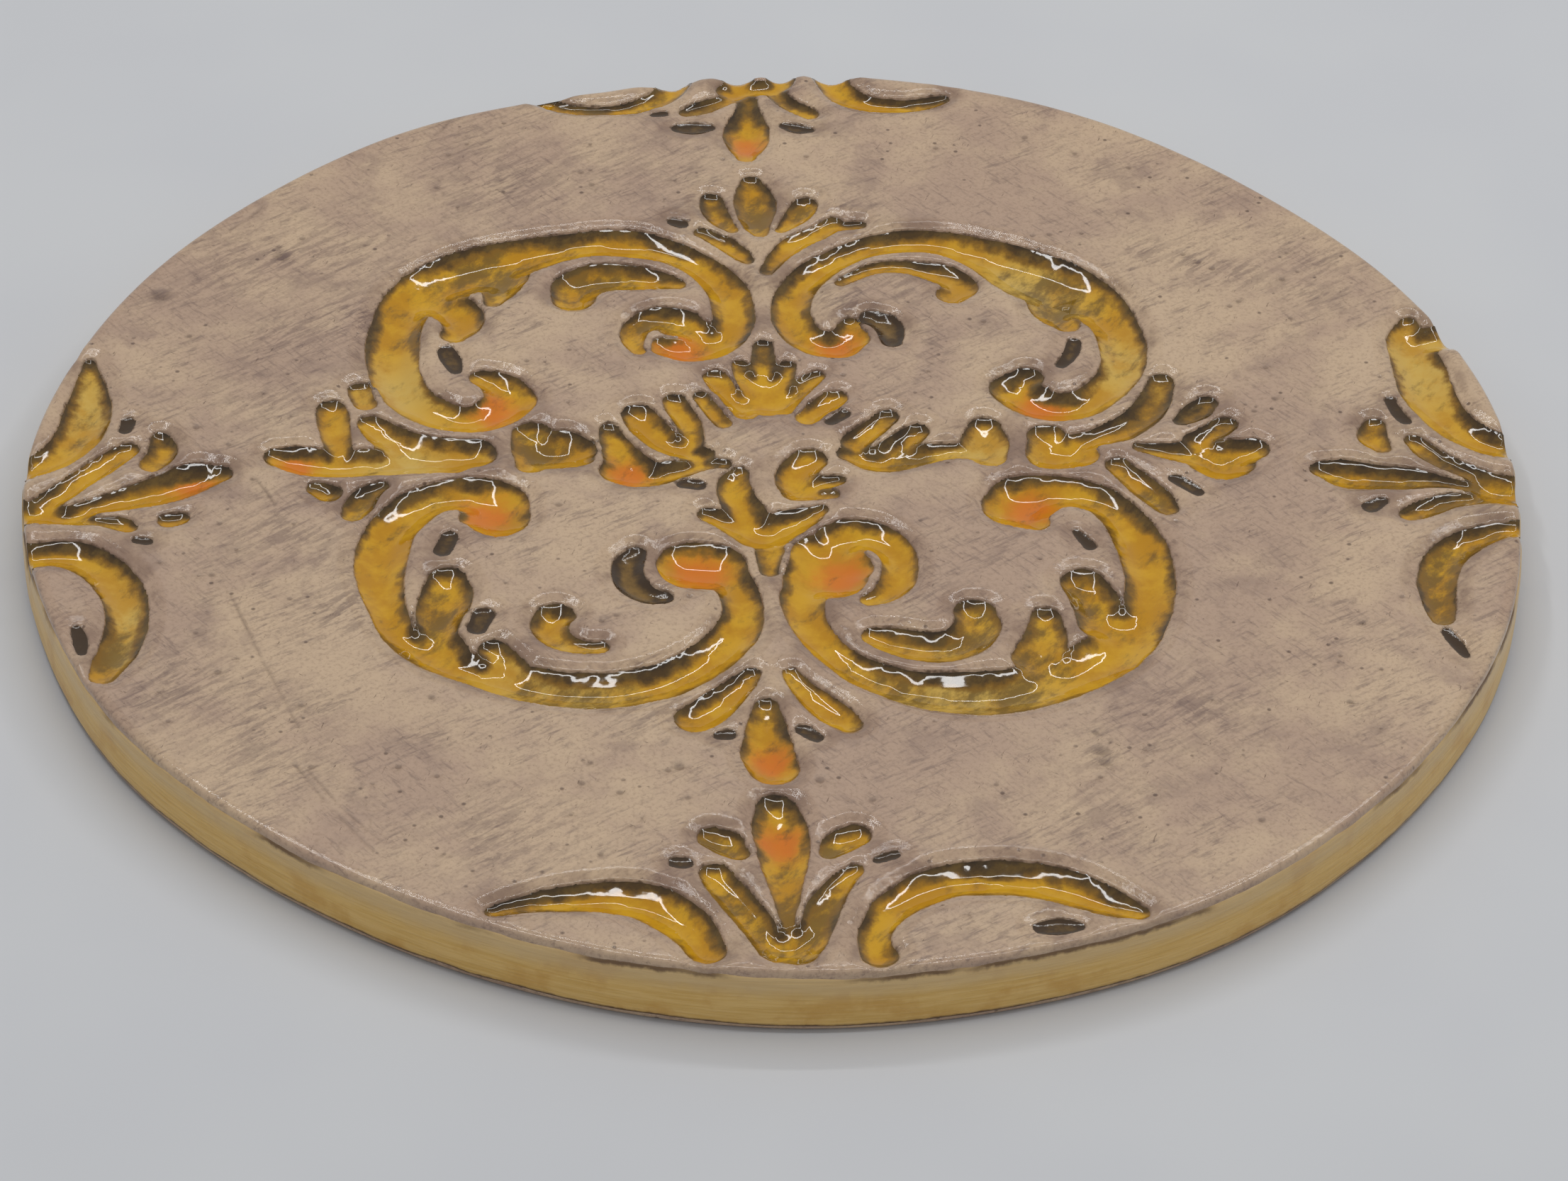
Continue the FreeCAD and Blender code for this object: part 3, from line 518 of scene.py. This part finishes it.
def glaze_sheet():
    """Triangles over all the pools, and the pool that each one belongs to."""
    lines = [contour(DISTANCE, level, 0.34) for level in GLAZE_LEVELS]
    spread = np.concatenate(lines)
    spread = spread[rim_radius(*spread.T) - np.hypot(*spread.T) > 0.3]
    ring = rim_ring(0.04, RIM_COUNT)
    spread = np.concatenate([spread, ring[sample(DISTANCE, *ring.T) < GLAZE_LAP]])
    flat, faces = triangulate(spread)
    middle = flat[faces].mean(axis=1)
    faces = faces[sample(DISTANCE, *middle.T) < GLAZE_LAP + 0.01]
    column = np.searchsorted(XS, flat[faces].mean(axis=1)[:, 0])
    row = np.searchsorted(YS, flat[faces].mean(axis=1)[:, 1])
    return flat, faces, NEAREST[row, column]


def unpinch(faces):
    """Leaves out triangles at points where two parts of a sheet touch only at a corner."""
    for _ in range(6):
        border = border_edges(faces)
        points, uses = np.unique(border, return_counts=True)
        pinched = points[uses > 2]
        if not len(pinched):
            return faces
        touching = np.isin(faces, pinched).any(axis=1)
        at_border = np.isin(faces, points).all(axis=1)
        faces = faces[~(touching & at_border)]
    return faces


def add_pool(number, flat, faces):
    """The glaze of one pool: a hollow, glossy upper surface on a body that fills the recess."""
    faces = unpinch(faces)
    used, corners = np.unique(faces, return_inverse=True)
    faces = corners.reshape(-1, 3)
    x, y = flat[used].T
    z = sample(GLAZE, x, y)
    count = len(used)
    gap = rim_radius(x, y) - np.hypot(x, y)
    top = np.column_stack([x, y, z - 0.75 * edge_fall(gap + 0.25)])
    floor = np.column_stack([x, y, np.minimum(sample(CLAY, x, y) + 0.05, top[:, 2] - 0.04)])
    floor[:, 2] = np.maximum(floor[:, 2], FLOORS[number] + 0.02)
    floor[:, 2] = np.minimum(floor[:, 2], top[:, 2] - 0.03)
    border = border_edges(faces)
    start, end = border.T
    walls = np.concatenate([np.column_stack([end, start, start + count]),
                            np.column_stack([end, start + count, end + count])])
    points = np.concatenate([top, floor])
    all_faces = np.concatenate([faces, faces[:, ::-1] + count, walls])
    measures = {"inward": -sample(DISTANCE, x, y), "shade": sample(SHADE, x, y),
                "warmth": spots(x, y, WARM_SPOTS), "pale": spots(x, y, PALE_SPOTS),
                "mud": spots(x, y, MUDDY_SPOTS)}
    measures = {label: np.tile(values, 2) for label, values in measures.items()}
    name = POOLS[number]
    dark = name.endswith(("marks", "speck", "spots", "hook"))
    material = dark_glaze if dark else honey_glaze
    return add_piece(name.replace("glaze_", "pool_"), points, all_faces, material, measures, [name])


def add_band():
    """The slip on the side: a thin coat with an uneven upper edge that dips under the pools."""
    ring = rim_ring(0, RIM_COUNT)
    angles = np.arange(RIM_COUNT) * 2 * math.pi / RIM_COUNT
    edge = sample(CLAY, *rim_ring(0.1, RIM_COUNT).T) - EDGE_ROUND
    waves = 0.22 * wander(ring[:, 0], ring[:, 1], 5, 21) + 0.1 * wander(ring[:, 0], ring[:, 1], 1.6, 22)
    high = np.minimum(FACE - EDGE_ROUND + 0.1, edge + 0.1) + waves - 0.2
    low = np.full(RIM_COUNT, FOOT_ROUND - 0.1) + 0.15 * wander(ring[:, 0], ring[:, 1], 4, 23)
    rings = []
    for share, out in BAND_SECTION:
        lumps = 0.03 * wander(angles * 30, np.full(RIM_COUNT, share * 40), 6, 24)
        radius = np.hypot(*ring.T) + out + (lumps if out > 0 else 0)
        rings.append(np.column_stack([np.cos(angles) * radius, np.sin(angles) * radius,
                                      high * (1 - share) + low * share]))
    points = np.concatenate(rings)
    numbers = np.arange(len(points)).reshape(len(rings), RIM_COUNT)
    faces = [bridge(numbers[row], numbers[(row + 1) % len(rings)]) for row in range(len(rings))]
    share = np.repeat([share for share, _ in BAND_SECTION], RIM_COUNT)
    height = np.tile(high - low, len(rings))
    measures = {"from_top": share * height, "from_foot": (1 - share) * height}
    return add_piece("rim_slip", points, np.concatenate(faces), slip_material(), measures,
                     ["rim_slip_band"])


# ---------------------------------------------------------------- materials

class Graph:
    """A material's nodes. A socket is given a number, a colour or another node's output."""

    def __init__(self, name):
        self.material = bpy.data.materials.new(name)
        self.material.use_nodes = True
        self.tree = self.material.node_tree
        self.shader = self.tree.nodes["Principled BSDF"]

    def add(self, kind, inputs, output=0, **settings):
        """A new node with its inputs and settings, as the output that is wanted from it."""
        node = self.tree.nodes.new(kind)
        for label, value in settings.items():
            setattr(node, label, value)
        for key, value in inputs.items():
            self.set(node.inputs[key], value)
        return node.outputs[output]

    def set(self, socket, value):
        if isinstance(value, bpy.types.NodeSocket):
            self.tree.links.new(value, socket)
        else:
            socket.default_value = value

    def place(self, stretch=(1, 1, 1), turn=0):
        """A place on the object in millimetres, turned about the vertical and then stretched."""
        spot = self.add("ShaderNodeTexCoord", {}, "Object")
        turned = self.add("ShaderNodeMapping", {"Vector": spot, "Rotation": (0, 0, math.radians(turn))})
        scale = [amount / MM for amount in stretch]
        return self.add("ShaderNodeMapping", {"Vector": turned, "Scale": scale})

    def noise(self, spot, size, detail=3, rough=0.55):
        """Noise around 0.5 with features of about that size."""
        return self.add("ShaderNodeTexNoise", {"Vector": spot, "Scale": 1 / size, "Detail": detail,
                                               "Roughness": rough}, "Fac")

    def measure(self, name):
        """One of the numbers that the mesh carries at each point."""
        return self.add("ShaderNodeAttribute", {}, "Fac", attribute_name=name)

    def math(self, kind, first, second=0.0):
        return self.add("ShaderNodeMath", {0: first, 1: second}, operation=kind)

    def ramp(self, value, low, high, start=0.0, end=1.0):
        """A smooth step from start to end while the value goes from low to high."""
        return self.add("ShaderNodeMapRange", {"Value": value, "From Min": low, "From Max": high,
                                               "To Min": start, "To Max": end},
                        interpolation_type="SMOOTHSTEP")

    def mix(self, share, first, second):
        """A colour between two others."""
        node = self.tree.nodes.new("ShaderNodeMix")
        node.data_type = "RGBA"
        self.set(node.inputs[0], share)
        self.set(node.inputs[6], first)
        self.set(node.inputs[7], second)
        return node.outputs[2]

    def bump(self, height, distance):
        """The normal of a surface that the height moves in and out by up to that distance."""
        return self.add("ShaderNodeBump", {"Height": height, "Distance": distance * MM, "Strength": 1.0})

    def finish(self, **inputs):
        """The material, with its shader's inputs set."""
        for label, value in inputs.items():
            self.set(self.shader.inputs[label.replace("_", " ")], value)
        return self.material


def colour(red, green, blue):
    """A colour from display values of 0 to 255."""
    shares = [value / 255 for value in (red, green, blue)]
    return [share / 12.92 if share < 0.04 else ((share + 0.055) / 1.055) ** 2.4 for share in shares] + [1]


def brushed(graph, turn, size, low, high):
    """Streaks left by a brush that moved in one direction: 1 in a streak, 0 beside it."""
    grain = graph.noise(graph.place((1.0, 0.16, 1.0), turn), size, 5, 0.68)
    return graph.ramp(grain, low, high)


def clay_material():
    """Fired clay, rubbed and scratched, with glaze stain beside the pools."""
    graph = Graph("pressed_clay")
    spot = graph.place()
    broad = graph.noise(spot, 19, 5, 0.6)
    patch = graph.noise(spot, 9, 5, 0.65)
    fine = graph.noise(spot, 0.5, 4, 0.65)
    base = graph.mix(graph.ramp(broad, 0.38, 0.62), colour(203, 176, 146), colour(184, 156, 134))
    base = graph.mix(graph.ramp(patch, 0.53, 0.68, 0, 0.5), base, colour(150, 125, 111))
    base = graph.mix(graph.ramp(fine, 0.46, 0.7, 0, 0.4), base, colour(140, 114, 94))
    wiped = graph.ramp(graph.noise(graph.place((1, 0.6, 1), 40), 6, 6, 0.72), 0.44, 0.6)
    streaks = graph.math("MULTIPLY", brushed(graph, 58, 0.55, 0.46, 0.67), wiped)
    base = graph.mix(graph.math("MULTIPLY", streaks, 0.6), base, colour(118, 97, 88))
    crossed = graph.math("MULTIPLY", brushed(graph, -40, 0.48, 0.52, 0.68), graph.ramp(broad, 0.42, 0.58))
    base = graph.mix(graph.math("MULTIPLY", crossed, 0.55), base, colour(128, 106, 94))
    scratches = graph.math("MAXIMUM", brushed(graph, 20, 0.34, 0.66, 0.72),
                           brushed(graph, -58, 0.36, 0.67, 0.73))
    base = graph.mix(graph.math("MULTIPLY", scratches, 0.6), base, colour(108, 84, 70))
    pits = graph.add("ShaderNodeTexVoronoi", {"Vector": spot, "Scale": 1 / 2.6}, "Distance")
    pits = graph.ramp(pits, 0.14, 0.05)
    chance = graph.ramp(graph.noise(spot, 6, 2), 0.46, 0.56)
    pits = graph.math("MULTIPLY", pits, chance)
    base = graph.mix(graph.math("MULTIPLY", pits, 0.7), base, colour(72, 50, 40))
    base = graph.mix(graph.math("MULTIPLY", graph.measure("dirt"), 0.7), base, colour(74, 52, 40))
    grime = graph.ramp(brushed(graph, 50, 0.9, 0.42, 0.62), 0.0, 0.9)
    base = graph.mix(graph.math("MULTIPLY", graph.measure("stain"), grime), base, colour(96, 74, 72))
    ragged = graph.math("SUBTRACT", graph.noise(spot, 1.0, 4, 0.65), 0.5)
    edge = graph.math("ADD", graph.measure("edge"), graph.math("MULTIPLY", ragged, 1.3))
    near = graph.math("MULTIPLY", graph.ramp(edge, 2.4, 0.3, 0, 0.5), graph.ramp(patch, 0.44, 0.6))
    base = graph.mix(near, base, colour(124, 98, 82))
    base = graph.mix(graph.ramp(edge, 0.0, -0.4, 0, 0.9), base, colour(84, 60, 36))
    rough = graph.ramp(graph.measure("bare"), 1.3, 2.4, 0.07, 0.46)
    worn = graph.math("MULTIPLY", scratches, 0.4)
    height = graph.math("SUBTRACT", graph.math("MULTIPLY", fine, 0.3), worn)
    height = graph.math("SUBTRACT", height, pits)
    height = graph.math("ADD", height, graph.math("MULTIPLY", patch, 1.5))
    return graph.finish(Base_Color=base, Roughness=rough, Normal=graph.bump(height, 0.08))


def honey_material():
    """Glossy honey glaze: olive brown near the walls where it runs thin over stain, with painted shade
    widening the dark on the walls behind; amber where it pools.
    """
    graph = Graph("honey_glaze")
    spot = graph.place()
    ragged = graph.math("SUBTRACT", graph.noise(spot, 1.9, 5, 0.62), 0.5)
    inward = graph.math("ADD", graph.measure("inward"), graph.math("MULTIPLY", ragged, 1.7))
    # Painted shade: the dark band at a pool's edge is made wider on the far walls of each recess.
    far_wall_shade = graph.ramp(graph.measure("shade"), -0.3, 1.0, 0.0, 0.95)
    inward = graph.math("SUBTRACT", inward, far_wall_shade)
    drift = graph.math("SUBTRACT", graph.noise(spot, 11, 2, 0.5), 0.5)
    inward = graph.math("ADD", inward, graph.math("MULTIPLY", drift, 3.0))
    cloud = graph.noise(spot, 6, 5, 0.65)
    amber = graph.mix(graph.ramp(cloud, 0.4, 0.62), colour(196, 140, 12), colour(214, 162, 28))
    pale = graph.math("MULTIPLY", graph.measure("pale"), graph.ramp(cloud, 0.35, 0.6, 0.3, 0.9))
    amber = graph.mix(pale, amber, colour(212, 178, 92))
    warm = graph.math("ADD", graph.measure("warmth"), graph.math("MULTIPLY", ragged, 0.8))
    amber = graph.mix(graph.ramp(warm, 0.1, 1.0, 0, 0.85), amber, colour(222, 118, 30))
    smear = graph.noise(graph.place((1, 0.5, 1), 40), 2.6, 6, 0.7)
    muddy = graph.math("ADD", smear, graph.math("MULTIPLY", graph.measure("mud"), 0.24))
    amber = graph.mix(graph.ramp(muddy, 0.52, 0.76, 0, 0.8), amber, colour(104, 80, 34))
    mottle = graph.ramp(smear, 0.42, 0.62, 0, 0.6)
    brown = graph.mix(mottle, colour(78, 56, 20), colour(118, 92, 40))
    black = graph.mix(mottle, colour(52, 37, 16), colour(84, 64, 32))
    base = graph.mix(graph.ramp(inward, 1.0, 0.3), amber, colour(136, 98, 26))
    base = graph.mix(graph.ramp(inward, 0.5, -0.1), base, brown)
    base = graph.mix(graph.ramp(inward, -0.15, -1.0), base, black)
    height = graph.noise(spot, 2.4, 2, 0.4)
    return graph.finish(Base_Color=base, Roughness=0.05, IOR=1.52, Normal=graph.bump(height, 0.03))


def dark_material():
    """Glossy dark brown glaze, in the small marks and hooks."""
    graph = Graph("dark_glaze")
    spot = graph.place()
    ragged = graph.math("MULTIPLY", graph.noise(spot, 1.4, 5, 0.6), 1.4)
    inward = graph.math("ADD", graph.measure("inward"), ragged)
    base = graph.mix(graph.ramp(inward, 1.3, 2.4), colour(64, 46, 26), colour(134, 102, 48))
    height = graph.noise(spot, 1.2, 3, 0.5)
    return graph.finish(Base_Color=base, Roughness=0.1, IOR=1.52, Normal=graph.bump(height, 0.05))


def slip_material():
    """Ochre slip put on with a brush that went round the side, darker at both its edges; at the foot the
    dark is bare clay together with painted contact shadow.
    """
    graph = Graph("ochre_slip")
    streaks = graph.noise(graph.place((0.07, 0.07, 1.5)), 0.5, 3, 0.6)
    blotches = graph.noise(graph.place(), 6, 4, 0.6)
    ragged = graph.math("MULTIPLY", graph.noise(graph.place(), 1.5, 4, 0.6), 0.5)
    base = graph.mix(graph.ramp(streaks, 0.3, 0.7), colour(216, 174, 92), colour(230, 192, 118))
    base = graph.mix(graph.ramp(blotches, 0.5, 0.68, 0, 0.6), base, colour(204, 154, 68))
    top = graph.math("SUBTRACT", graph.measure("from_top"), graph.math("MULTIPLY", ragged, 2.2))
    base = graph.mix(graph.ramp(top, 3.2, 0.6, 0, 0.5), base, colour(206, 182, 146))
    broken = graph.ramp(graph.noise(graph.place(), 16, 2), 0.44, 0.6, 0.05, 0.9)
    line = graph.math("MULTIPLY", graph.ramp(top, 0.35, -0.25), broken)
    base = graph.mix(line, base, colour(96, 68, 44))
    # Painted contact shadow along the foot, together with the darker bare clay at the slip's lower edge.
    foot = graph.math("SUBTRACT", graph.measure("from_foot"), ragged)
    base = graph.mix(graph.ramp(foot, 0.45, 0.0), base, colour(74, 46, 26))
    height = graph.math("ADD", streaks, graph.math("MULTIPLY", blotches, 0.6))
    return graph.finish(Base_Color=base, Roughness=0.34, Normal=graph.bump(height, 0.14))


def floor_material():
    """Plain pale paper."""
    graph = Graph("floor")
    grain = graph.noise(graph.place(), 40, 2)
    base = graph.mix(graph.ramp(grain, 0.3, 0.7), colour(206, 208, 212), colour(209, 211, 214))
    return graph.finish(Base_Color=base, Roughness=0.6)


# ---------------------------------------------------------------- the studio

def add_floor():
    """The surface that the object lies on."""
    size = 6000
    mesh = bpy.data.meshes.new("floor")
    corners = [(-size, -size, 0), (size, -size, 0), (size, size, 0), (-size, size, 0)]
    mesh.from_pydata([Vector(corner) * MM for corner in corners], [], [(0, 1, 2, 3)])
    mesh.materials.append(floor_material())
    floor = bpy.data.objects.new("floor", mesh)
    bpy.context.scene.collection.objects.link(floor)


def add_light(name, place, width, height, watts):
    """A lamp that shines straight down."""
    light = bpy.data.lights.new(name, "AREA")
    light.shape = "RECTANGLE"
    light.size = width * MM
    light.size_y = height * MM
    light.energy = watts
    holder = bpy.data.objects.new(name, light)
    holder.location = Vector(place) * MM
    bpy.context.scene.collection.objects.link(holder)


def add_camera():
    """The camera looks down at the object from in front, rolled a little."""
    camera = bpy.data.cameras.new("camera")
    camera.sensor_width = CAMERA_SENSOR
    camera.lens = CAMERA_LENS
    camera.clip_start = 0.01
    camera.clip_end = 50
    forward = Vector(CAMERA_AIM).normalized()
    right = forward.cross(Vector((0, 0, 1))).normalized()
    up = right.cross(forward)
    roll = math.radians(CAMERA_ROLL)
    across = right * math.cos(roll) + up * math.sin(roll)
    upward = up * math.cos(roll) - right * math.sin(roll)
    turn = Matrix((across, upward, -forward)).transposed()
    holder = bpy.data.objects.new("camera", camera)
    holder.matrix_world = Matrix.Translation(Vector(CAMERA_PLACE) * MM) @ turn.to_4x4()
    bpy.context.scene.collection.objects.link(holder)
    bpy.context.scene.camera = holder


def add_lights():
    """A light tent: four lamp strips in a rectangle overhead, and pale walls all round."""
    x, y, height = STRIP_MIDDLE
    long, short = STRIP_SPANS
    watts = STRIP_GLOW * math.pi * MM * MM * STRIP_THICK
    for side in (-1, 1):
        add_light("strip", (x, y + side * short / 2, height), long, STRIP_THICK, watts * long)
        add_light("strip", (x + side * long / 2, y, height), STRIP_THICK, short, watts * short)
    world = bpy.data.worlds.new("tent")
    world.use_nodes = True
    walls = world.node_tree.nodes["Background"]
    walls.inputs["Color"].default_value = (0.98, 0.98, 0.98, 1)
    walls.inputs["Strength"].default_value = WALL_GLOW
    bpy.context.scene.world = world
    bpy.context.scene.view_settings.view_transform = "Standard"


# ---------------------------------------------------------------- putting it together

XS = np.arange(-93, 93 + STEP, STEP)
YS = np.arange(-92, 92 + STEP, STEP)
RIM = rim_profile()
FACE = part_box("clay_slab")[1].z / MM
POOLS = sorted(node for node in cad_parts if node.startswith("glaze_"))
FLOORS = np.array([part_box(pool)[0].z / MM for pool in POOLS])
IS_DEEP = FACE - FLOORS > 2
DISTANCE, NEAREST = draw_pools()
DISTANCE = soften(DISTANCE)
DEEP = blur(np.where(IS_DEEP[NEAREST], 1.0, 0.5), 0.4)
FLOOR = FLOORS[NEAREST] + 0.02
FALL = blur(np.where(IS_DEEP[NEAREST], GLAZE_FALL["recess"], GLAZE_FALL["mark"]), 0.3)
# Painted shade: how fast the distance from a pool's edge grows northwards, high on the far walls of the
# recesses.
SHADE = np.gradient(blur(DISTANCE, 0.5), STEP)[0]
CLAY = clay_field()
GLAZE = glaze_field()
SPECKS = scatter_specks()

honey_glaze = honey_material()
dark_glaze = dark_material()
add_slab()
flat, faces, owners = glaze_sheet()
for number in range(len(POOLS)):
    add_pool(number, flat, faces[owners == number])
add_band()
add_floor()
add_camera()
add_lights()
